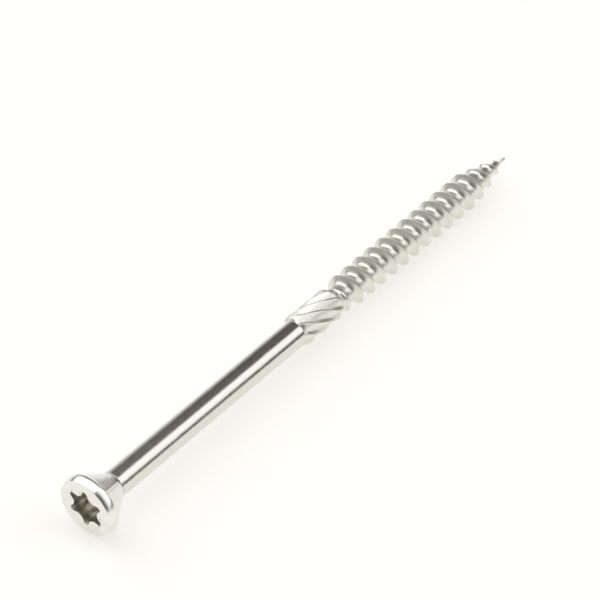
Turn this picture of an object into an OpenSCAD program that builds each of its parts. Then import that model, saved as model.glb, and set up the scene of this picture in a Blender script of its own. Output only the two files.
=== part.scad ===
// Wood screw with a countersunk head, a six-lobe recess, a plain shank, a spiral shank cutter,
// a coarse single-start thread and a sharp gimlet point. The screw's axis is +X, the flat face of
// the head is in the plane X = 0, and angles round the axis run from +Y towards +Z.
// The real screw is one piece: each part here is one region of it, closed, and meets the next
// region face to face.

/* [Overall] */
// Length from the face of the head to the tip
screw_l = 80; // [50:1:120]
// Threaded length, with the point
thread_l = 34.4; // [22:0.1:36]

/* [Head] */
// Diameter of the head
head_d = 8; // [6.6:0.1:11]
// Height of the sloped edge between the flat face and the rim
edge_h = 0.34; // [0.1:0.02:0.6]
// How far the sloped edge leans in
edge_in = 0.11; // [0.05:0.01:0.3]
// Straight height of the rim
rim_h = 0.84; // [0.5:0.02:1.6]
// Included angle of the conical underside
underside_angle = 62; // [50:1:90]
// Depth of the pockets between the milling ribs of the underside
pocket_depth = 0.14; // [0.05:0.01:0.25]
// Number of milling ribs under the head
rib_count = 4; // [2:1:8]
// Width of a milling rib
rib_w = 0.34; // [0.2:0.02:0.8]
// Angle of the first milling rib
rib_angle = 34; // [0:1:90]

/* [Drive recess] */
// Diameter across the six lobes
recess_d = 4.5; // [3.75:0.05:5.4]
// Diameter across the six hollows
recess_hollow_d = 3.27; // [2.7:0.01:3.6]
// Radius of a lobe's tip
lobe_r = 0.4; // [0.3:0.01:0.5]
// Depth of the straight flanks
recess_depth = 2.5; // [1.5:0.05:3]
// Depth of the conical bottom below the flanks
recess_bottom_h = 0.7; // [0.3:0.05:0.9]
// How far the flared mouth reaches past the tips of the lobes
mouth_flare = 0.25; // [0.1:0.05:0.5]
// Depth of the flare
mouth_h = 0.3; // [0.1:0.05:0.5]
// Angle of the first lobe
lobe_angle = 30; // [0:1:59]

/* [Shank] */
// Diameter of the plain shank
shank_d = 3.5; // [2.9:0.05:4.2]

/* [Shank cutter] */
// Length of the cutter
cutter_l = 7.6; // [5:0.1:10]
// How far the ribs stand out past the shank
rib_over = 0.35; // [0.2:0.05:0.6]
// How far the valleys lie below the shank's surface
valley_under = 0.1; // [0:0.05:0.3]
// Number of ribs
cutter_ribs = 8; // [5:1:12]
// Angle between a rib and the screw's axis
cutter_angle = 30; // [15:1:45]
// Angle of a rib's crest where the cutter meets the shank
cutter_turn = 21; // [0:1:44]
// Length over which the ribs rise at the shank
cutter_lead_in = 0.5; // [0.3:0.1:1.5]
// Length over which the ribs die out towards the thread
cutter_run_out = 1.4; // [0.5:0.1:2.5]

/* [Thread] */
// Outer diameter of the thread
thread_d = 4.65; // [3.9:0.05:5.6]
// Diameter of the core under the thread
core_d = 3.05; // [2.6:0.05:3.3]
// Pitch
pitch = 2.225; // [1.8:0.005:2.8]
// Width of the thread's crest
crest_w = 0.1; // [0.06:0.01:0.2]
// Included angle between the flanks
flank_angle = 40; // [30:1:50]
// Angle at which the middle of the root crosses the start of the thread
thread_angle = 270; // [0:1:359]

/* [Point] */
// Length over which the thread's crest tapers to the tip
point_l = 5.6; // [4:0.1:8]
// Length over which the core tapers to the tip
core_taper_l = 4.8; // [3:0.1:5]
// Diameter of the blunted tip
tip_d = 0.16; // [0.1:0.02:0.3]

/* [Hidden] */
steel = [0.78, 0.78, 0.76];
dull_steel = [0.70, 0.70, 0.67];

// Stations along the axis
rim_z = edge_h + rim_h;
cone_h = (head_d - shank_d) / 2 / tan(underside_angle / 2);
head_h = rim_z + cone_h;
thread_z = screw_l - thread_l;
cutter_z = thread_z - cutter_l;
point_z = screw_l - point_l;

// Overlap that keeps a cutting shape clear of the face that it cuts
cut_over = 0.5;
// Number of segments of the round surfaces
$fn = 96;

// The pockets' cone leaves a small ledge under the rim and runs out at the neck
ledge_h = 0.08;

// Six-lobe outline: a hollow's radius follows from the two diameters and the lobe's radius
lobe_count = 6;
lobe_step = 360 / lobe_count;
lobe_at = recess_d / 2 - lobe_r;
hollow_bottom = recess_hollow_d / 2;
lobe_reach = lobe_at * cos(lobe_step / 2);
hollow_r = (lobe_at ^ 2 + hollow_bottom ^ 2 - 2 * lobe_reach * hollow_bottom - lobe_r ^ 2)
    / (2 * (lobe_r + lobe_reach - hollow_bottom));
hollow_at = hollow_bottom + hollow_r;

// Cutter mesh
cutter_d = shank_d + 2 * rib_over;
valley_d = shank_d - 2 * valley_under;
cutter_lead = PI * cutter_d / tan(cutter_angle);
cutter_segments = cutter_ribs * 8;
cutter_rings = 16;
// Below 1 widens the ribs' crests, above 1 narrows them
crest_sharpness = 0.8;

// Thread mesh: one pitch of the profile as [share of a pitch, share of the thread's height]
thread_steps = 24;
thread_h = (thread_d - core_d) / 2;
crest_half = crest_w / 2 / pitch;
base_half = crest_half + thread_h * tan(flank_angle / 2) / pitch;
fillet_share = 0.1;
fillet_half = base_half * (1 - fillet_share);
root_fillet_half = base_half * (1 + fillet_share);
profile = [
    [0, 0],
    [0.5 - root_fillet_half, 0],
    [0.5 - fillet_half, fillet_share],
    [0.5 - crest_half, 1],
    [0.5 + crest_half, 1],
    [0.5 + fillet_half, fillet_share],
    [0.5 + root_fillet_half, 0]
];
profile_points = len(profile);
// Length over which the first turn rises to its full height
thread_lead_in = pitch * 0.6;
// A profile point closer than this to an end plane is left out
end_gap = 0.03;

// Turns a shape made along +Z to lie along the screw's axis, with +X turned to +Y
module along_axis() {
    rotate([90, 0, 90]) children();
}

function on_ring(radius, angle, z) = [radius * cos(angle), radius * sin(angle), z];
function share(value, from, to) = min(1, max(0, (value - from) / (to - from)));

// ---- Head ----

module six_lobe_outline(turn) {
    touch = lobe_r / (lobe_r + hollow_r);
    union() {
        difference() {
            polygon([
                for (k = [0 : lobe_count - 1])
                    for (side = [-1, 1])
                        let (
                            lobe = turn + k * lobe_step,
                            hollow = lobe + side * lobe_step / 2,
                            lobe_p = [lobe_at * cos(lobe), lobe_at * sin(lobe)],
                            hollow_p = [hollow_at * cos(hollow), hollow_at * sin(hollow)]
                        )
                        lobe_p + (hollow_p - lobe_p) * touch
            ]);
            for (k = [0 : lobe_count - 1])
                rotate(turn + (k + 0.5) * lobe_step)
                    translate([hollow_at, 0]) circle(r = hollow_r);
        }
        for (k = [0 : lobe_count - 1])
            rotate(turn + k * lobe_step)
                translate([lobe_at, 0]) circle(r = lobe_r);
    }
}

module recess() {
    translate([0, 0, -cut_over])
        linear_extrude(recess_depth + cut_over) six_lobe_outline(lobe_angle);
    // Conical bottom, no wider than the hollows
    translate([0, 0, recess_depth - cut_over]) cylinder(d = recess_hollow_d, h = cut_over);
    translate([0, 0, recess_depth])
        cylinder(d1 = recess_hollow_d, d2 = recess_hollow_d / 4, h = recess_bottom_h);
    // Flare at the tips of the lobes
    flare_h = mouth_h + cut_over;
    flare_r = recess_d / 2 + mouth_flare * flare_h / mouth_h;
    intersection() {
        translate([0, 0, -cut_over]) cylinder(r1 = flare_r, r2 = recess_d / 2, h = flare_h);
        for (k = [0 : lobe_count - 1])
            rotate(lobe_angle + k * lobe_step)
                translate([0, -lobe_r, -cut_over]) cube([flare_r, 2 * lobe_r, flare_h]);
    }
}

module milling_ribs() {
    intersection() {
        translate([0, 0, rim_z]) cylinder(d1 = head_d, d2 = shank_d, h = cone_h);
        for (k = [0 : rib_count - 1])
            rotate(rib_angle + k * 360 / rib_count)
                translate([0, -rib_w / 2, rim_z]) cube([head_d, rib_w, cone_h]);
    }
}

module head_body() {
    rotate_extrude()
        polygon([
            [0, 0],
            [head_d / 2 - edge_in, 0],
            [head_d / 2, edge_h],
            [head_d / 2, rim_z],
            [head_d / 2 - pocket_depth - ledge_h, rim_z + ledge_h],
            [shank_d / 2, head_h],
            [0, head_h]
        ]);
}

module head() {
    color(steel)
        along_axis()
            difference() {
                union() {
                    head_body();
                    milling_ribs();
                }
                recess();
            }
}

// ---- Shank ----

module shank() {
    color(steel)
        along_axis()
            translate([0, 0, head_h]) cylinder(d = shank_d, h = cutter_z - head_h);
}

// ---- Shank cutter ----

// Share of the ribs' height, from 0 in a valley to 1 on a crest
function rib_wave(angle, z) =
    (0.5 + 0.5 * cos(cutter_ribs * (angle - cutter_turn - 360 * (z - cutter_z) / cutter_lead)))
    ^ crest_sharpness;
// The ribs start low at the shank and end low at the thread
function rib_end(z) =
    min(
        0.35 + 0.65 * share(z, cutter_z, cutter_z + cutter_lead_in),
        share(z, thread_z, thread_z - cutter_run_out)
    );
function cutter_radius(angle, z) =
    let (base = valley_d / 2 + (core_d - valley_d) / 2 * share(z, thread_z - cutter_run_out, thread_z))
    base + (cutter_d - valley_d) / 2 * rib_wave(angle, z) * rib_end(z);

module cutter() {
    points = [
        for (ring = [0 : cutter_rings])
            for (s = [0 : cutter_segments - 1])
                let (
                    z = cutter_z + cutter_l * ring / cutter_rings,
                    angle = 360 * s / cutter_segments
                )
                on_ring(cutter_radius(angle, z), angle, z),
        [0, 0, cutter_z],
        [0, 0, thread_z]
    ];
    start_centre = len(points) - 2;
    end_centre = len(points) - 1;
    last_ring = cutter_rings * cutter_segments;
    faces = [
        for (ring = [0 : cutter_rings - 1])
            for (s = [0 : cutter_segments - 1])
                let (
                    next = (s + 1) % cutter_segments,
                    a = ring * cutter_segments,
                    b = a + cutter_segments
                )
                each [[a + s, b + s, a + next], [a + next, b + s, b + next]],
        for (s = [0 : cutter_segments - 1])
            let (next = (s + 1) % cutter_segments)
            each [[start_centre, s, next], [end_centre, last_ring + next, last_ring + s]]
    ];
    color(steel) along_axis() polyhedron(points, faces);
}

// ---- Thread and point ----

// Radius of the core and of the crest at a place along the axis
function core_radius(z) =
    tip_d / 2 + (core_d - tip_d) / 2 * share(z, screw_l, screw_l - core_taper_l);
function crest_radius(z) =
    let (
        full = tip_d / 2 + (thread_d - tip_d) / 2 * share(z, screw_l, point_z),
        core = core_radius(z),
        rise = share(z, thread_z, thread_z + thread_lead_in)
    )
    core + (full - core) * rise;

function turn_z(angle, turn, part) = thread_z + pitch * ((angle - thread_angle) / 360 + turn + part);

// Place along the axis of profile point g, which counts on through the turns
function place(step, g) =
    turn_z(360 * step / thread_steps, floor(g / profile_points), profile[g % profile_points][0]);
function surface_radius(z, height) = core_radius(z) + height * (crest_radius(z) - core_radius(z));

// Height share of the profile on a step's line, where that line crosses the plane at z
function height_at(step, z) =
    let (
        turns = (z - turn_z(360 * step / thread_steps, 0, 0)) / pitch,
        part = turns - floor(turns),
        closed = concat(profile, [[1, 0]])
    )
    lookup(part, closed);

// Closed stretch of thread between two planes. Each line runs along the screw at one angle, from
// its start point through the profile points between the planes to its end point.
module thread_stretch(z0, z1) {
    count = profile_points * ceil((z1 - thread_z) / pitch + 3);
    inside = [
        for (step = [0 : thread_steps - 1])
            [
                for (g = [0 : count])
                    if (place(step, g) > z0 + end_gap && place(step, g) < z1 - end_gap) g
            ]
    ];
    lines = [
        for (step = [0 : thread_steps - 1])
            let (angle = 360 * step / thread_steps)
            [
                on_ring(surface_radius(z0, height_at(step, z0)), angle, z0),
                for (g = inside[step])
                    let (z = place(step, g))
                    on_ring(surface_radius(z, profile[g % profile_points][1]), angle, z),
                on_ring(surface_radius(z1, height_at(step, z1)), angle, z1)
            ]
    ];
    offsets = [
        for (step = 0, total = 0; step <= thread_steps;
            total = total + (step < thread_steps ? len(lines[step]) : 0), step = step + 1)
            total
    ];
    points = [for (line = lines) each line, [0, 0, z0], [0, 0, z1]];
    start_centre = len(points) - 2;
    end_centre = len(points) - 1;
    // Line 0 met again after a full turn: its profile points count one turn less
    function low(step) =
        step < thread_steps ? inside[step][0] : inside[0][0] - profile_points;
    function high(step) =
        step < thread_steps
            ? inside[step][len(inside[step]) - 1]
            : inside[0][len(inside[0]) - 1] - profile_points;
    function vertex(step, g) = offsets[step % thread_steps] + 1 + g - low(step);
    function first(step) = offsets[step % thread_steps];
    function last(step) = offsets[step % thread_steps + 1] - 1;
    faces = [
        for (step = [0 : thread_steps - 1])
            let (
                next = step + 1,
                from = max(low(step), low(next)),
                to = min(high(step), high(next))
            )
            each [
                for (g = [from : 1 : to - 1])
                    each [
                        [vertex(step, g), vertex(step, g + 1), vertex(next, g)],
                        [vertex(next, g), vertex(step, g + 1), vertex(next, g + 1)]
                    ],
                // From the start plane to the profile points that the lines share
                [first(step), vertex(step, from), first(next)],
                for (g = [low(next) : 1 : from])
                    [g == low(next) ? first(next) : vertex(next, g - 1), vertex(step, from), vertex(next, g)],
                // From the shared profile points to the end plane
                [last(step), last(next), vertex(next, to)],
                for (g = [to : 1 : high(step)])
                    [vertex(step, g), g == high(step) ? last(step) : vertex(step, g + 1), vertex(next, to)],
                [start_centre, first(step), first(next)],
                [end_centre, last(next), last(step)]
            ]
    ];
    polyhedron(points, faces);
}

module thread() {
    color(dull_steel) along_axis() thread_stretch(thread_z, point_z);
}

module point() {
    color(dull_steel) along_axis() thread_stretch(point_z, screw_l);
}

head();
shank();
cutter();
thread();
point();
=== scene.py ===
"""Stainless wood screw on a pale studio floor.

The file is laid out as an add-on and is run as a script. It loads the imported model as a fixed
frame and makes a finished surface for each region of the screw: head, shank, cutter, thread and
point. The screw's axis is +X, and angles round it run from +Y towards +Z.
"""
import math

import bmesh
import bpy
from bpy.props import FloatProperty, FloatVectorProperty, IntProperty, PointerProperty
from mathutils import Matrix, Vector


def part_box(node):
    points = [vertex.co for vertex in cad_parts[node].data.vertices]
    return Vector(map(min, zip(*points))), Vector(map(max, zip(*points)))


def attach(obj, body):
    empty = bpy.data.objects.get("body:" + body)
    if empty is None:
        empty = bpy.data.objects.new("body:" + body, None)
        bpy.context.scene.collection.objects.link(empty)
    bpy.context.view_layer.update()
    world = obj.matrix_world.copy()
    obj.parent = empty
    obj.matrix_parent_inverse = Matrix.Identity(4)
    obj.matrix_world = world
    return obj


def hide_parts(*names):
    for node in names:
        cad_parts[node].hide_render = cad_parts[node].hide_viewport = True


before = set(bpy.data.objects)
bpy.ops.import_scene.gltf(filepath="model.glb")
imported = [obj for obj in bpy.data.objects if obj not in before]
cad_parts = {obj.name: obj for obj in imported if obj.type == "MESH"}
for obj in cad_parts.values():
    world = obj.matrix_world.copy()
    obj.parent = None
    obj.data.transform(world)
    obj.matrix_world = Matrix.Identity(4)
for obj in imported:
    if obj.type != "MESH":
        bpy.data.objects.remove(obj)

bl_info = {
    "name": "Wood screw",
    "version": (1, 0, 0),
    "blender": (4, 5, 0),
    "location": "3D View > Sidebar > Screw",
    "description": "Finished surfaces, steel and a studio stage for a wood screw",
    "category": "Object",
}

MM = 0.001
FULL_TURN = 2 * math.pi
WELD = 0.0005 * MM

# Where the regions of the screw meet along its axis, and their radii, as the frame has them
HEAD_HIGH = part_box("head")[1]
SHANK_LOW, SHANK_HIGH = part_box("shank")
CUTTER_LOW, CUTTER_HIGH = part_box("cutter")
THREAD_LOW, THREAD_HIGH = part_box("thread")
POINT_LOW, POINT_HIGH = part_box("point")
HEAD_RADIUS = HEAD_HIGH.y
SHANK_RADIUS = SHANK_HIGH.y
CUTTER_RADIUS = max(CUTTER_HIGH.y, CUTTER_HIGH.z)
THREAD_RADIUS = max(THREAD_HIGH.y, THREAD_HIGH.z, -THREAD_LOW.y, -THREAD_LOW.z)

# How finely each region is made
HEAD_SEGMENTS = 360
SHANK_SEGMENTS = 180
SHANK_RINGS = 12
CUTTER_SEGMENTS_PER_RIB = 30
CUTTER_RINGS = 36
THREAD_STEPS = 72
PROFILE_STEPS = 14

# Corners sharper than these many degrees stay crisp
HEAD_CREASE = 50
SHANK_CREASE = 40
CUTTER_CREASE = 60
THREAD_CREASE = 50

# The camera: which way it stands from the face of the head, and which way it looks
CAMERA_PLACE = (-0.4984, -0.4841, 0.7192)
CAMERA_LOOK = (0.56716, 0.46494, -0.67983)
CAMERA_SENSOR = 36

# The studio. Each panel has its span along X, its span of degrees round the axis, how many
# degrees its high side leans towards low X, and its light
FLOOR_SIZE = 8
ROOM_LIGHT = (0.085, 0.085, 0.08, 1)
BACKDROP_LIGHT = (1, 1, 1, 1)
PANELS = {
    "side strip": ((0.42, 0.59), (-10, 27), 0, (0.55, 0.55, 0.53, 1)),
    "wall that the head faces": ((-1.1, -0.68), (-10, 190), 0, (0.36, 0.36, 0.33, 1)),
    "dim half of the overhead light": ((-0.65, -0.16), (15, 103), 0, (0.7, 0.7, 0.67, 1)),
    "bright half of the overhead light": ((-0.16, 0.38), (15, 103), 0, (2, 2, 1.97, 1)),
    "leaning strip": ((0.1, 0.8), (103, 140), 58, (1.27, 1.28, 1.29, 1)),
}
PANEL_EDGE = 0.02


# ---------------------------------------------------------------------------
# Sizes and colours that a user would change
# ---------------------------------------------------------------------------

def length(name, description, default_mm):
    """A length property, with its default given in millimetres."""
    return FloatProperty(
        name=name, description=description, default=default_mm * MM, subtype="DISTANCE",
        unit="LENGTH", precision=5)


def turn(name, description, default_degrees):
    """An angle property, with its default given in degrees."""
    return FloatProperty(
        name=name, description=description, default=math.radians(default_degrees), subtype="ANGLE")


def share(name, description, default):
    """A property from 0 to 1."""
    return FloatProperty(
        name=name, description=description, default=default, min=0, max=1, subtype="FACTOR")


def colour(name, description, default):
    """A colour property."""
    return FloatVectorProperty(
        name=name, description=description, default=default, size=3, min=0, max=1, subtype="COLOR")


class HeadShape(bpy.types.PropertyGroup):
    """Sizes of the head's outside."""

    edge_in: length("Edge lean", "How far the edge of the face lies inside the rim", 0.19)
    rim_height: length("Rim height", "From the face to the end of the rim", 1.18)
    softness: length("Softness", "Radius of the rounded corners", 0.04)
    ribs: IntProperty(name="Milling ribs", description="Ribs under the head", default=4, min=1)
    rib_angle: turn("Rib angle", "Angle of the first milling rib", 34)
    rib_width: length("Rib width", "Width of a milling rib's top", 0.1)
    rib_flank: length("Rib flank", "Width of each side of a milling rib", 0.09)
    pocket_depth: length("Pocket depth", "Depth of the pockets between the ribs", 0.075)
    neck_ledge: length("Neck ledge", "Height of the ledge where the cone meets the shank", 0.07)
    neck_groove: length("Neck groove", "Depth and width of the groove at the shank", 0.04)


class RecessShape(bpy.types.PropertyGroup):
    """Sizes of the six-lobe drive recess."""

    across_lobes: length("Across lobes", "Diameter over the lobes", 4.5)
    across_hollows: length("Across hollows", "Diameter over the hollows", 3.27)
    lobe_radius: length("Lobe radius", "Radius of a lobe's tip", 0.4)
    depth: length("Depth", "Depth of the straight flanks", 2.5)
    bottom: length("Bottom", "Depth of the conical bottom below the flanks", 0.7)
    flare: length("Flare", "How far the mouth reaches past the lobes", 0.2)
    draft: length("Draft", "How far the walls lean out at the mouth", 0.13)
    turn: turn("Turn", "Angle of the first lobe", 30)


class CutterShape(bpy.types.PropertyGroup):
    """Sizes of the spiral shank cutter."""

    ribs: IntProperty(name="Ribs", description="Number of ribs", default=8, min=3)
    angle: turn("Rib angle", "Angle between a rib and the axis", 30)
    turn: turn("Turn", "Angle of a rib's crest at the shank", 20)
    valley_under: length("Valleys", "Depth of the valleys below the shank", 0.1)
    lead_in: length("Lead-in", "Length over which the ribs rise", 0.9)
    steep_share: share("Steep share", "Part of a rib that is its steep side", 0.2)
    run_out: length("Run-out", "Length over which the ribs die out", 0.9)


class ThreadShape(bpy.types.PropertyGroup):
    """Sizes of the thread and the point."""

    pitch: length("Pitch", "Rise of the thread in one turn", 2.225)
    core: length("Core", "Diameter of the core", 3.05)
    crest_width: length("Crest width", "Width of the thread's crest", 0.1)
    root_curve: FloatProperty(
        name="Root curve", description="How round the root is: 1 is a plain V, more is rounder",
        default=3, min=1)
    start_angle: turn("Start angle", "Angle at which the root meets the cutter", 270)
    core_taper: length("Core taper", "Length over which the core tapers to the tip", 6.9)
    crest_taper: length("Crest taper", "Length over which the crest tapers to the tip", 8)
    crest_fall: FloatProperty(
        name="Crest fall", description="Below 1 the crest keeps its height and drops near the tip",
        default=0.75, min=0.1)
    tip: length("Tip", "Diameter of the tip", 0.16)


class SteelFinish(bpy.types.PropertyGroup):
    """Colours and sheen of the stainless steel."""

    forged: colour("Forged", "Steel of the head", (0.84, 0.83, 0.79))
    drawn: colour("Drawn", "Steel of the plain shank", (0.76, 0.745, 0.69))
    rolled: colour("Rolled", "Steel of the cutter and the thread", (0.82, 0.805, 0.745))
    # Painted shade in the recess: two darker colours, mottled together over its walls and bottom.
    recess_shade_dark: colour("Recess shade, dark", "Darker parts of the film in the recess", (0.7, 0.685, 0.63))
    recess_shade_pale: colour("Recess shade, pale", "Paler parts of the film in the recess", (0.84, 0.825, 0.78))
    burr: colour("Burr", "Marks at the edge of the recess", (0.3, 0.29, 0.26))
    forged_roughness: share("Forged roughness", "Roughness of the head", 0.22)
    drawn_roughness: share("Drawn roughness", "Roughness of the shank", 0.17)
    rolled_roughness: share("Rolled roughness", "Roughness of the cutter and the thread", 0.36)


class StageSettings(bpy.types.PropertyGroup):
    """Camera and light."""

    lens: FloatProperty(
        name="Lens", description="Focal length", default=220, min=1, unit="CAMERA")
    distance: length("Distance", "From the camera to the face of the head", 422.7)
    floor: colour("Floor", "Colour of the floor", (0.6, 0.6, 0.6))
    floor_light: colour("Floor light", "Colour of the light from below", (1, 0.98, 0.93))
    floor_glow: FloatProperty(
        name="Floor glow", description="Light through the floor from below", default=0.56, min=0)
    brightness: FloatProperty(
        name="Brightness", description="Strength of the studio's light", default=1, min=0)


# ---------------------------------------------------------------------------
# Modelling helpers
# ---------------------------------------------------------------------------

def make_active(piece):
    """Selects one piece alone and makes it the active one."""
    bpy.ops.object.select_all(action="DESELECT")
    piece.select_set(True)
    bpy.context.view_layer.objects.active = piece


def edit(piece):
    """Opens one piece in edit mode with all of it selected."""
    make_active(piece)
    bpy.ops.object.mode_set(mode="EDIT")
    bpy.ops.mesh.select_mode(type="VERT")
    bpy.ops.mesh.select_all(action="SELECT")


def close_edit():
    """Leaves edit mode with the doubles merged and all faces pointing outwards."""
    bpy.ops.mesh.select_all(action="SELECT")
    bpy.ops.mesh.remove_doubles(threshold=WELD)
    bpy.ops.mesh.normals_make_consistent(inside=False)
    bpy.ops.object.mode_set(mode="OBJECT")


def picked():
    """The mesh in edit mode, and its selected vertices."""
    shape = bmesh.from_edit_mesh(bpy.context.edit_object.data)
    shape.verts.ensure_lookup_table()
    return shape, [vertex.index for vertex in shape.verts if vertex.select]


def pick(indices):
    """Selects only these vertices of the mesh in edit mode."""
    bpy.ops.mesh.select_all(action="DESELECT")
    shape = bmesh.from_edit_mesh(bpy.context.edit_object.data)
    shape.verts.ensure_lookup_table()
    for index in indices:
        shape.verts[index].select = True
    shape.select_flush(True)
    bmesh.update_edit_mesh(bpy.context.edit_object.data, loop_triangles=False, destructive=False)


def axis_angle(point):
    """Angle round the screw's axis, from +Y towards +Z."""
    return math.atan2(point.z, point.y)


def ramp(value, low, high):
    """0 at low, 1 at high, straight between and flat outside."""
    return min(1, max(0, (value - low) / (high - low)))


def smooth_step(value, low, high):
    """0 below low, 1 above high, and a smooth rise between."""
    part = ramp(value, low, high)
    return part * part * (3 - 2 * part)


def start_disc(name, place, radius, segments):
    """A disc across the screw's axis, open in edit mode, from which a solid is drawn out."""
    bpy.ops.object.select_all(action="DESELECT")
    bpy.ops.mesh.primitive_circle_add(
        vertices=segments, radius=radius, fill_type="NGON", location=(place, 0, 0),
        rotation=(0, math.pi / 2, 0))
    piece = bpy.context.object
    piece.name = name
    piece.data.name = name
    bpy.ops.object.transform_apply(location=True, rotation=True, scale=True)
    edit(piece)
    return piece


def draw_out(place, radius):
    """Extrudes the selected ring to a place along the axis, and shapes it to a radius.

    radius is a number, or a rule that takes an angle and gives a radius.
    """
    shape, ring = picked()
    here = shape.verts[ring[0]].co.x
    bpy.ops.mesh.extrude_region_move(TRANSFORM_OT_translate={"value": (place - here, 0, 0)})
    shape_ring(radius if callable(radius) else lambda angle: radius)


def shape_ring(rule):
    """Scales each vertex of the selected ring from the axis to the radius that rule gives."""
    shape, ring = picked()
    place = shape.verts[ring[0]].co.x
    groups = {}
    for index in ring:
        point = shape.verts[index].co
        factor = rule(axis_angle(point)) / math.hypot(point.y, point.z)
        groups.setdefault(round(factor, 5), []).append(index)
    for factor, indices in groups.items():
        if factor == 1:
            continue
        pick(indices)
        bpy.ops.transform.resize(value=(1, factor, factor), center_override=(place, 0, 0))
    pick(ring)


def finish_piece(piece, node, material, crease_degrees):
    """Smooths a piece's shading, gives it its steel and stands it in for its CAD node."""
    make_active(piece)
    bpy.ops.object.shade_smooth_by_angle(angle=math.radians(crease_degrees))
    piece.data.materials.clear()
    piece.data.materials.append(material)
    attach(piece, "root")
    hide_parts(node)


# ---------------------------------------------------------------------------
# Steel
# ---------------------------------------------------------------------------

class Wire:
    """A socket that carries a number, used in Python expressions that add Math nodes."""

    def __init__(self, bench, socket):
        self.bench = bench
        self.socket = socket

    def maths(self, operation, first, second):
        return self.bench.add(
            "ShaderNodeMath", {"operation": operation}, {0: first, 1: second})

    def __add__(self, other):
        return self.maths("ADD", self, other)

    def __radd__(self, other):
        return self.maths("ADD", other, self)

    def __sub__(self, other):
        return self.maths("SUBTRACT", self, other)

    def __rsub__(self, other):
        return self.maths("SUBTRACT", other, self)

    def __mul__(self, other):
        return self.maths("MULTIPLY", self, other)

    def __rmul__(self, other):
        return self.maths("MULTIPLY", other, self)


class Bench:
    """The node tree of a material or a world, with one way to add a node."""

    def __init__(self, owner):
        owner.use_nodes = True
        self.tree = owner.node_tree
        self.tree.nodes.clear()

    def add(self, kind, settings=None, sockets=None, output=0):
        """Adds a node: its settings first, then its sockets' values or links."""
        node = self.tree.nodes.new(kind)
        for name, value in (settings or {}).items():
            setattr(node, name, value)
        for name, value in (sockets or {}).items():
            if isinstance(value, Wire):
                self.tree.links.new(value.socket, node.inputs[name])
            else:
                node.inputs[name].default_value = value
        return Wire(self, node.outputs[output]) if len(node.outputs) else node

    def smooth(self, value, low, high):
        """0 below low, 1 above high, and a smooth rise between."""
        return self.add(
            "ShaderNodeMapRange", {"interpolation_type": "SMOOTHSTEP"},
            {"Value": value, "From Min": low, "From Max": high})

    def band(self, value, low, high, fade_in, fade_out):
        """1 between low and high, 0 outside, with a smooth rise and a smooth fall."""
        return self.smooth(value, low, low + fade_in) * (1 - self.smooth(value, high, high + fade_out))

    def mix(self, factor, first, second):
        """Mixes two colours."""
        return self.add(
            "ShaderNodeMix", {"data_type": "RGBA"}, {"Factor": factor, 6: first, 7: second},
            output=2)

    def noise(self, place, scale, detail=2, roughness=0.5):
        """Soft noise from 0 to 1."""
        return self.add(
            "ShaderNodeTexNoise", {},
            {"Vector": place, "Scale": scale, "Detail": detail, "Roughness": roughness})

    def parts(self, vector):
        """The three parts of a vector."""
        return [
            self.add("ShaderNodeSeparateXYZ", {}, {"Vector": vector}, output=axis)
            for axis in range(3)]

    def stretched(self, factors):
        """Object coordinates scaled along each axis."""
        place = self.add("ShaderNodeTexCoord", output="Object")
        return self.add("ShaderNodeMapping", {}, {"Vector": place, "Scale": factors})

    def mottled(self, pattern, tint, dark, pale):
        """A colour that varies between two shades of it with a pattern from 0 to 1."""
        return self.mix(self.smooth(pattern, 0.3, 0.7), shade(tint, dark), shade(tint, pale))


def shade(colour_value, factor=1):
    """A colour made lighter or darker, with its alpha."""
    return (*[part * factor for part in colour_value], 1)


def steel(name, build, finish):
    """A metal whose colour, roughness and surface height are worked out by build."""
    material = bpy.data.materials.new(name)
    bench = Bench(material)
    colour_wire, roughness_wire, height, height_scale = build(bench, finish)
    bump = bench.add(
        "ShaderNodeBump", {}, {"Strength": 1, "Distance": height_scale, "Height": height})
    shader = bench.add(
        "ShaderNodeBsdfPrincipled", {},
        {"Base Color": colour_wire, "Roughness": roughness_wire, "Metallic": 1, "Normal": bump})
    bench.add("ShaderNodeOutputMaterial", {}, {"Surface": shader})
    return material


def forged_surface(bench, finish):
    """Pressed steel: soft mottling, small dents, painted shade in the recess and burrs round it."""
    skin = 0.03 * MM
    recess_end = 3.25 * MM
    recess_reach = 2.5 * MM
    burrs_from, burrs_to = 2.1 * MM, 2.6 * MM
    place = bench.stretched((1, 1, 1))
    cloud = bench.noise(place, 900, 3)
    grain = bench.noise(place, 9000, 4, 0.6)
    dents = bench.noise(place, 2600, 2)
    colour_wire = bench.mottled(cloud * 0.6 + grain * 0.4, finish.forged, 0.95, 1.05)
    depth, across, up = bench.parts(place)
    away = bench.add(
        "ShaderNodeMath", {"operation": "POWER"}, {0: across * across + up * up, 1: 0.5})
    burrs = bench.smooth(bench.noise(place, 2300, 3, 0.6), 0.6, 0.66)
    burrs = burrs * bench.band(away, burrs_from, burrs_to, 0.2 * MM, 0.25 * MM)
    burrs = burrs * (1 - bench.smooth(depth, skin, 2 * skin))
    colour_wire = bench.mix(burrs, colour_wire, shade(finish.burr))
    # Painted shade: the walls and bottom of the recess get a darker, warmer colour, mottled between
    # its two shades.
    film_and_shade = bench.mix(
        bench.smooth(cloud, 0.4, 0.6), shade(finish.recess_shade_dark), shade(finish.recess_shade_pale))
    # Where the painted shade goes: below the face's skin and inside the mouth of the recess.
    inside = bench.band(depth, skin, recess_end, 0.27 * MM, 0.05 * MM)
    inside = inside * (1 - bench.smooth(away, recess_reach, recess_reach + 0.06 * MM))
    colour_wire = bench.mix(inside, colour_wire, film_and_shade)
    roughness = finish.forged_roughness - 0.05 + grain * 0.1
    return colour_wire, roughness, dents * 0.6 + grain * 0.4, 0.012 * MM


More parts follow.
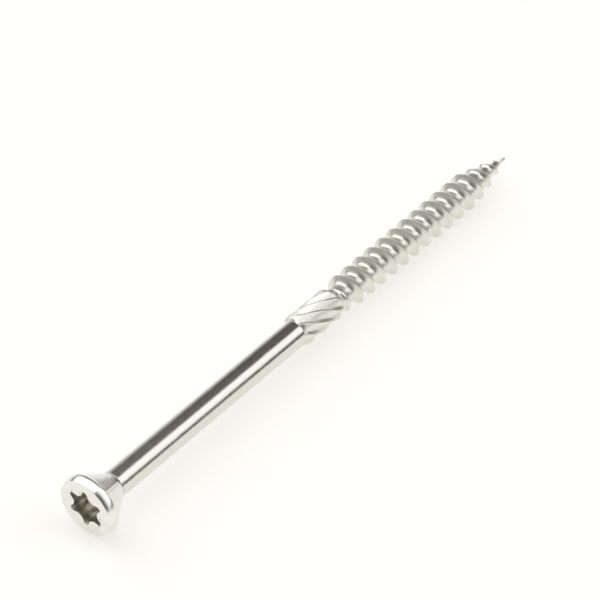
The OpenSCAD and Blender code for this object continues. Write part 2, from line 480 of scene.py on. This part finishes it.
def drawn_surface(bench, finish):
    """Drawn wire: fine lines along the shank over a grain."""
    lines = bench.noise(bench.stretched((60, 9000, 9000)), 1, 3, 0.6)
    grain = bench.noise(bench.stretched((1, 1, 1)), 4600, 3, 0.7)
    colour_wire = bench.mottled(lines * 0.5 + grain * 0.5, finish.drawn, 0.95, 1.04)
    roughness = finish.drawn_roughness - 0.04 + grain * 0.08
    return colour_wire, roughness, lines * 0.25 + grain * 0.75, 0.02 * MM


def rolled_surface(bench, finish):
    """Rolled steel: fine grain with a warm, uneven tint."""
    place = bench.stretched((1, 1, 1))
    film_and_shade = bench.noise(place, 700, 3)
    grain = bench.noise(place, 8000, 3, 0.6)
    colour_wire = bench.mottled(film_and_shade * 0.6 + grain * 0.4, finish.rolled, 0.92, 1.05)
    return colour_wire, finish.rolled_roughness - 0.05 + grain * 0.1, grain, 0.004 * MM


# ---------------------------------------------------------------------------
# Head and recess
# ---------------------------------------------------------------------------

def six_lobe_radius(shape, opening):
    """Rule for the six-lobe outline: a convex arc at each lobe, a concave arc at each hollow.

    opening goes from 0 at the bottom to 1 at the mouth, where the punch has spread the walls.
    """
    tip = shape.lobe_radius
    lobe_at = shape.across_lobes / 2 - tip
    hollow_bottom = shape.across_hollows / 2
    lobes = 6
    half_step = math.pi / lobes
    reach = lobe_at * math.cos(half_step)
    hollow_radius = (lobe_at ** 2 + hollow_bottom ** 2 - 2 * reach * hollow_bottom - tip ** 2) / (
        2 * (tip + reach - hollow_bottom))
    hollow_at = hollow_bottom + hollow_radius
    touch = tip / (tip + hollow_radius)
    touch_y = hollow_at * math.sin(half_step) * touch
    touch_x = lobe_at + (hollow_at * math.cos(half_step) - lobe_at) * touch
    touch_angle = math.atan2(touch_y, touch_x)

    def rule(angle):
        turned = (angle - shape.turn) % (2 * half_step)
        from_lobe = min(turned, 2 * half_step - turned)
        if from_lobe < touch_angle:
            radius = lobe_at * math.cos(from_lobe) + math.sqrt(
                tip ** 2 - (lobe_at * math.sin(from_lobe)) ** 2)
        else:
            from_hollow = half_step - from_lobe
            radius = hollow_at * math.cos(from_hollow) - math.sqrt(
                hollow_radius ** 2 - (hollow_at * math.sin(from_hollow)) ** 2)
        at_lobe = (radius - hollow_bottom) / (shape.across_lobes / 2 - hollow_bottom)
        return radius + opening ** 2 * (shape.draft + shape.flare * at_lobe ** 2)
    return rule


def under_head_radius(head, place, neck):
    """Rule for the underside at a place: the cone, with pockets sunk between its ribs."""
    fall = ramp(place, head.rim_height, neck)
    cone = HEAD_RADIUS + (SHANK_RADIUS + head.neck_ledge - HEAD_RADIUS) * fall
    step = FULL_TURN / head.ribs
    sink = ramp(place, head.rim_height, head.rim_height + head.softness)

    def rule(angle):
        turned = (angle - head.rib_angle) % step
        from_rib = min(turned, step - turned) * cone
        inside = smooth_step(from_rib, head.rib_width / 2, head.rib_width / 2 + head.rib_flank)
        return cone - head.pocket_depth * inside * sink
    return rule


class SCREW_OT_head(bpy.types.Operator):
    """Makes the head, drawn out in one go from the bottom of the recess to the neck"""

    bl_idname = "screw.head"
    bl_label = "Head"

    def execute(self, context):
        head = context.scene.screw_head
        recess = context.scene.screw_recess
        piece = self.recess(recess, head.softness)
        self.face(head, recess)
        self.rim(head)
        self.underside(head)
        close_edit()
        material = steel("forged steel", forged_surface, context.scene.screw_steel)
        finish_piece(piece, "head", material, HEAD_CREASE)
        return {"FINISHED"}

    def recess(self, recess, soft):
        """The conical bottom, the walls of the recess and their rounded corner at the face."""
        hollow = recess.across_hollows / 2
        piece = start_disc("head_steel", recess.depth + recess.bottom, hollow / 4, HEAD_SEGMENTS)
        cone_share = 0.98
        draw_out(recess.depth, hollow * cone_share)
        walls = 8
        for step in range(walls + 1):
            opening = step / walls
            draw_out(
                recess.depth - soft / 2 + (1.5 * soft - recess.depth) * opening,
                six_lobe_radius(recess, opening))
        mouth = six_lobe_radius(recess, 1)
        for degrees in (30, 60, 90):
            swing = math.radians(degrees)
            reach = soft * (1 - math.cos(swing))
            draw_out(soft * (1 - math.sin(swing)), lambda angle: mouth(angle) + reach)
        return piece

    def face(self, head, recess):
        """The flat face, from a round ring just outside the recess."""
        lobes_end = recess.across_lobes / 2 + recess.flare
        draw_out(0, lobes_end + recess.draft + 3 * head.softness)
        draw_out(0, (HEAD_RADIUS - head.edge_in + lobes_end) / 2)

    def rim(self, head):
        """The rounded edge of the face and the rim, which swells to the full diameter."""
        soft = head.softness
        edge = HEAD_RADIUS - head.edge_in
        for degrees in (0, 24, 48, 72):
            swing = math.radians(degrees)
            draw_out(soft * (1 - math.cos(swing)), edge - soft * (1 - math.sin(swing)))
        bulges = 9
        for step in range(1, bulges + 1):
            along = step / bulges
            place = soft + (head.rim_height - 2 * soft) * along
            draw_out(place, HEAD_RADIUS - head.edge_in * (1 - along) ** 2)
        draw_out(head.rim_height - soft / 4, HEAD_RADIUS - soft / 4)

    def underside(self, head):
        """The ribbed cone, in rings that start close together, and the groove at the neck."""
        groove = head.neck_groove
        neck = HEAD_HIGH.x - 2 * groove
        rings = 14
        crowding = 1.3
        for ring in range(rings + 1):
            place = head.rim_height + (neck - head.rim_height) * (ring / rings) ** crowding
            draw_out(place, under_head_radius(head, place, neck))
        draw_out(neck + 0.5 * groove, SHANK_RADIUS - groove)
        draw_out(neck + 1.5 * groove, SHANK_RADIUS - groove)
        draw_out(HEAD_HIGH.x, SHANK_RADIUS)


# ---------------------------------------------------------------------------
# Shank and cutter
# ---------------------------------------------------------------------------

class SCREW_OT_shank(bpy.types.Operator):
    """Makes the plain shank"""

    bl_idname = "screw.shank"
    bl_label = "Shank"

    def execute(self, context):
        start, end = SHANK_LOW.x, SHANK_HIGH.x
        piece = start_disc("shank_steel", start, SHANK_RADIUS, SHANK_SEGMENTS)
        for ring in range(1, SHANK_RINGS + 1):
            draw_out(start + (end - start) * ring / SHANK_RINGS, SHANK_RADIUS)
        close_edit()
        material = steel("drawn steel", drawn_surface, context.scene.screw_steel)
        finish_piece(piece, "shank", material, SHANK_CREASE)
        return {"FINISHED"}


def rib_height(turned, cutter):
    """Height of a rib, from 0 to 1, at a share of the way from one crest to the next."""
    gentle = 1 - cutter.steep_share
    if turned > gentle:
        return (turned - gentle) / cutter.steep_share
    return 1 - turned / gentle


def cutter_radius(cutter, core, place):
    """Rule for the cutter at a place: its ribs wind round it as they go along."""
    start, end = CUTTER_LOW.x, CUTTER_HIGH.x
    along = place - start
    lead = FULL_TURN * CUTTER_RADIUS / math.tan(cutter.angle)
    valley = SHANK_RADIUS - cutter.valley_under
    rise = min(
        smooth_step(along, -cutter.lead_in, cutter.lead_in),
        smooth_step(end - place, 0, cutter.run_out))
    base = SHANK_RADIUS + (valley - SHANK_RADIUS) * ramp(along, 0, 2 * cutter.lead_in)
    base = base + (core - base) * smooth_step(place, end - cutter.run_out, end)
    crest_turn = cutter.turn + FULL_TURN * along / lead

    def rule(angle):
        past_crest = (angle - crest_turn) * cutter.ribs / FULL_TURN % 1
        return base + (CUTTER_RADIUS - valley) * rise * rib_height(past_crest, cutter)
    return rule


class SCREW_OT_cutter(bpy.types.Operator):
    """Makes the shank cutter: a ribbed length, twisted ring by ring as it is drawn out"""

    bl_idname = "screw.cutter"
    bl_label = "Cutter"

    def execute(self, context):
        cutter = context.scene.screw_cutter
        core = context.scene.screw_thread.core / 2
        start, end = CUTTER_LOW.x, CUTTER_HIGH.x
        piece = start_disc(
            "cutter_steel", start, SHANK_RADIUS, cutter.ribs * CUTTER_SEGMENTS_PER_RIB)
        for ring in range(1, CUTTER_RINGS + 1):
            place = start + (end - start) * ring / CUTTER_RINGS
            draw_out(place, cutter_radius(cutter, core, place))
        close_edit()
        material = steel("ribbed steel", rolled_surface, context.scene.screw_steel)
        finish_piece(piece, "cutter", material, CUTTER_CREASE)
        return {"FINISHED"}


# ---------------------------------------------------------------------------
# Thread and point
# ---------------------------------------------------------------------------

class SCREW_OT_thread(bpy.types.Operator):
    """Makes the thread and the point: one profile, screwed along the axis, tapered and cut"""

    bl_idname = "screw.thread"
    bl_label = "Thread and point"

    def execute(self, context):
        thread = context.scene.screw_thread
        material = steel("rolled steel", rolled_surface, context.scene.screw_steel)
        whole = self.screw_profile(thread)
        self.taper(whole, thread)
        for name, node, low, high in (
                ("thread_steel", "thread", THREAD_LOW.x, THREAD_HIGH.x),
                ("point_steel", "point", POINT_LOW.x, POINT_HIGH.x)):
            piece = whole.copy()
            piece.data = whole.data.copy()
            piece.name = name
            piece.data.name = name
            context.scene.collection.objects.link(piece)
            self.cut(piece, low, high)
            finish_piece(piece, node, material, THREAD_CREASE)
        bpy.data.objects.remove(whole)
        return {"FINISHED"}

    def profile(self, thread):
        """One pitch of the thread from root to root, as (place, radius)."""
        core = thread.core / 2
        height = THREAD_RADIUS - core
        crest = thread.crest_width / 2
        reach = thread.pitch / 2 - crest
        shoulder = 0.97
        rise = []
        for step in range(PROFILE_STEPS + 1):
            along = step / PROFILE_STEPS
            rise.append((-crest - reach * (1 - along), shoulder * along ** thread.root_curve))
        fall = [(-place, part) for place, part in reversed(rise)]
        return [(place, core + height * part) for place, part in rise + [(0, 1)] + fall]

    def screw_profile(self, thread):
        """Draws the profile by extruding one vertex, then screws it along the axis."""
        spare_turns = 2
        points = self.profile(thread)
        start = (
            THREAD_LOW.x - spare_turns * thread.pitch
            + thread.pitch / 2
            - thread.pitch * thread.start_angle / FULL_TURN)
        bpy.ops.object.select_all(action="DESELECT")
        bpy.ops.mesh.primitive_plane_add(size=MM)
        whole = bpy.context.object
        whole.name = "thread_blank"
        edit(whole)
        bpy.ops.mesh.merge(type="CENTER")
        bpy.ops.transform.translate(value=(start + points[0][0], points[0][1], 0))
        for (place, radius), (next_place, next_radius) in zip(points, points[1:]):
            bpy.ops.mesh.extrude_region_move(
                TRANSFORM_OT_translate={"value": (next_place - place, next_radius - radius, 0)})
        bpy.ops.object.mode_set(mode="OBJECT")
        screw = whole.modifiers.new("turns", "SCREW")
        screw.axis = "X"
        screw.angle = FULL_TURN
        screw.screw_offset = thread.pitch
        screw.iterations = (
            math.ceil((POINT_HIGH.x - THREAD_LOW.x) / thread.pitch) + 2 * spare_turns)
        screw.steps = screw.render_steps = THREAD_STEPS
        screw.use_merge_vertices = True
        screw.merge_threshold = WELD
        bpy.ops.object.modifier_apply(modifier=screw.name)
        return whole

    def taper(self, whole, thread):
        """Tapers core and crest to the tip, each at its own rate, and raises the first turn.

        Every vertex is at its own place on the helix, so no one transform of a ring gives this.
        """
        core = thread.core / 2
        tip = thread.tip / 2
        start, end = THREAD_LOW.x, POINT_HIGH.x
        first_rise = 0.6 * thread.pitch
        for vertex in whole.data.vertices:
            place, radius = vertex.co.x, math.hypot(vertex.co.y, vertex.co.z)
            height = (radius - core) / (THREAD_RADIUS - core)
            new_core = tip + (core - tip) * ramp(end - place, 0, thread.core_taper)
            crest_part = ramp(end - place, 0, thread.crest_taper) ** thread.crest_fall
            crest = tip + (THREAD_RADIUS - tip) * crest_part
            rise = smooth_step(place, start, start + first_rise)
            factor = (new_core + height * max(crest - new_core, 0) * rise) / radius
            vertex.co.y *= factor
            vertex.co.z *= factor

    def cut(self, piece, low, high):
        """Cuts a piece square at both ends, and closes the cuts."""
        edit(piece)
        for place, keeps_above in ((low, True), (high, False)):
            bpy.ops.mesh.select_all(action="SELECT")
            bpy.ops.mesh.bisect(
                plane_co=(place, 0, 0), plane_no=(1, 0, 0), use_fill=True,
                clear_inner=keeps_above, clear_outer=not keeps_above, threshold=WELD / 5)
        close_edit()


# ---------------------------------------------------------------------------
# Stage
# ---------------------------------------------------------------------------

class SCREW_OT_stage(bpy.types.Operator):
    """Makes the floor that the screw lies on, the studio's light and the camera"""

    bl_idname = "screw.stage"
    bl_label = "Stage"

    def execute(self, context):
        stage = context.scene.screw_stage
        self.make_floor(stage, context.scene.screw_head.rim_height)
        self.make_studio(context, stage)
        self.make_camera(context, stage)
        return {"FINISHED"}

    def make_floor(self, stage, rim_end):
        """The screw lies on the edge of its head and the crest of its last full turn."""
        rim = Vector((rim_end, 0, -HEAD_RADIUS))
        crest = Vector((THREAD_HIGH.x, 0, -THREAD_RADIUS))
        slope = math.atan2(crest.z - rim.z, crest.x - rim.x)
        bpy.ops.object.select_all(action="DESELECT")
        bpy.ops.mesh.primitive_plane_add(size=FLOOR_SIZE, location=rim, rotation=(0, -slope, 0))
        floor = bpy.context.object
        floor.name = "floor"
        material = bpy.data.materials.new("pale floor")
        bench = Bench(material)
        paper = bench.noise(bench.stretched((1, 1, 1)), 400, 2)
        shader = bench.add(
            "ShaderNodeBsdfPrincipled", {},
            {"Base Color": bench.mix(paper, shade(stage.floor, 0.995), shade(stage.floor)),
             "Roughness": 0.9, "Specular IOR Level": 0.1,
             "Emission Color": shade(stage.floor_light), "Emission Strength": stage.floor_glow})
        bench.add("ShaderNodeOutputMaterial", {}, {"Surface": shader})
        floor.data.materials.append(material)

    def make_studio(self, context, stage):
        """A dim room with soft light panels round the screw's axis, before a white backdrop."""
        world = bpy.data.worlds.new("studio")
        context.scene.world = world
        bench = Bench(world)
        along, across, up = bench.parts(bench.add("ShaderNodeTexCoord", output="Generated"))
        round_axis = bench.add("ShaderNodeMath", {"operation": "ARCTAN2"}, {0: up, 1: across})
        light = ROOM_LIGHT
        for (near, far), (low, high), lean, level in PANELS.values():
            low = math.radians(low)
            high = math.radians(high) + math.radians(lean) * (far - along)
            mask = self.soft_span(bench, along, near, far)
            mask = mask * self.soft_span(bench, round_axis, low, high)
            light = bench.mix(mask, light, level)
        seen = bench.add("ShaderNodeLightPath", output="Is Camera Ray")
        light = bench.mix(seen, light, BACKDROP_LIGHT)
        background = bench.add(
            "ShaderNodeBackground", {}, {"Color": light, "Strength": stage.brightness})
        bench.add("ShaderNodeOutputWorld", {}, {"Surface": background})

    def soft_span(self, bench, value, low, high):
        """1 from low to high, 0 outside, with edges that are soft on both sides of each end."""
        return bench.band(value, low - PANEL_EDGE, high - PANEL_EDGE, 2 * PANEL_EDGE, 2 * PANEL_EDGE)

    def make_camera(self, context, stage):
        """Looks down past the head along the screw."""
        data = bpy.data.cameras.new("camera")
        data.lens = stage.lens
        data.sensor_width = CAMERA_SENSOR
        data.clip_start = MM
        camera = bpy.data.objects.new("camera", data)
        context.scene.collection.objects.link(camera)
        camera.location = Vector(CAMERA_PLACE).normalized() * stage.distance
        camera.rotation_mode = "QUATERNION"
        camera.rotation_quaternion = Vector(CAMERA_LOOK).to_track_quat("-Z", "Y")
        context.scene.camera = camera
        context.scene.view_settings.view_transform = "Standard"


# ---------------------------------------------------------------------------
# Add-on
# ---------------------------------------------------------------------------

class SCREW_PT_panel(bpy.types.Panel):
    """Lists the makers and the sizes that they use"""

    bl_idname = "SCREW_PT_panel"
    bl_label = "Wood screw"
    bl_space_type = "VIEW_3D"
    bl_region_type = "UI"
    bl_category = "Screw"

    def draw(self, context):
        layout = self.layout
        for name, group in GROUPS.items():
            box = layout.box()
            settings = getattr(context.scene, name)
            for key in group.__annotations__:
                box.prop(settings, key)
        for operator in OPERATORS:
            layout.operator(operator.bl_idname)


GROUPS = {
    "screw_head": HeadShape,
    "screw_recess": RecessShape,
    "screw_cutter": CutterShape,
    "screw_thread": ThreadShape,
    "screw_steel": SteelFinish,
    "screw_stage": StageSettings,
}
OPERATORS = (SCREW_OT_head, SCREW_OT_shank, SCREW_OT_cutter, SCREW_OT_thread, SCREW_OT_stage)


def register():
    for name, group in GROUPS.items():
        bpy.utils.register_class(group)
        setattr(bpy.types.Scene, name, PointerProperty(type=group))
    for item in (*OPERATORS, SCREW_PT_panel):
        bpy.utils.register_class(item)


def unregister():
    for item in (SCREW_PT_panel, *reversed(OPERATORS)):
        bpy.utils.unregister_class(item)
    for name, group in reversed(GROUPS.items()):
        delattr(bpy.types.Scene, name)
        bpy.utils.unregister_class(group)


def main():
    """Makes every piece and the stage."""
    register()
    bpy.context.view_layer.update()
    bpy.ops.screw.head()
    bpy.ops.screw.shank()
    bpy.ops.screw.cutter()
    bpy.ops.screw.thread()
    bpy.ops.screw.stage()


if __name__ == "__main__":
    main()
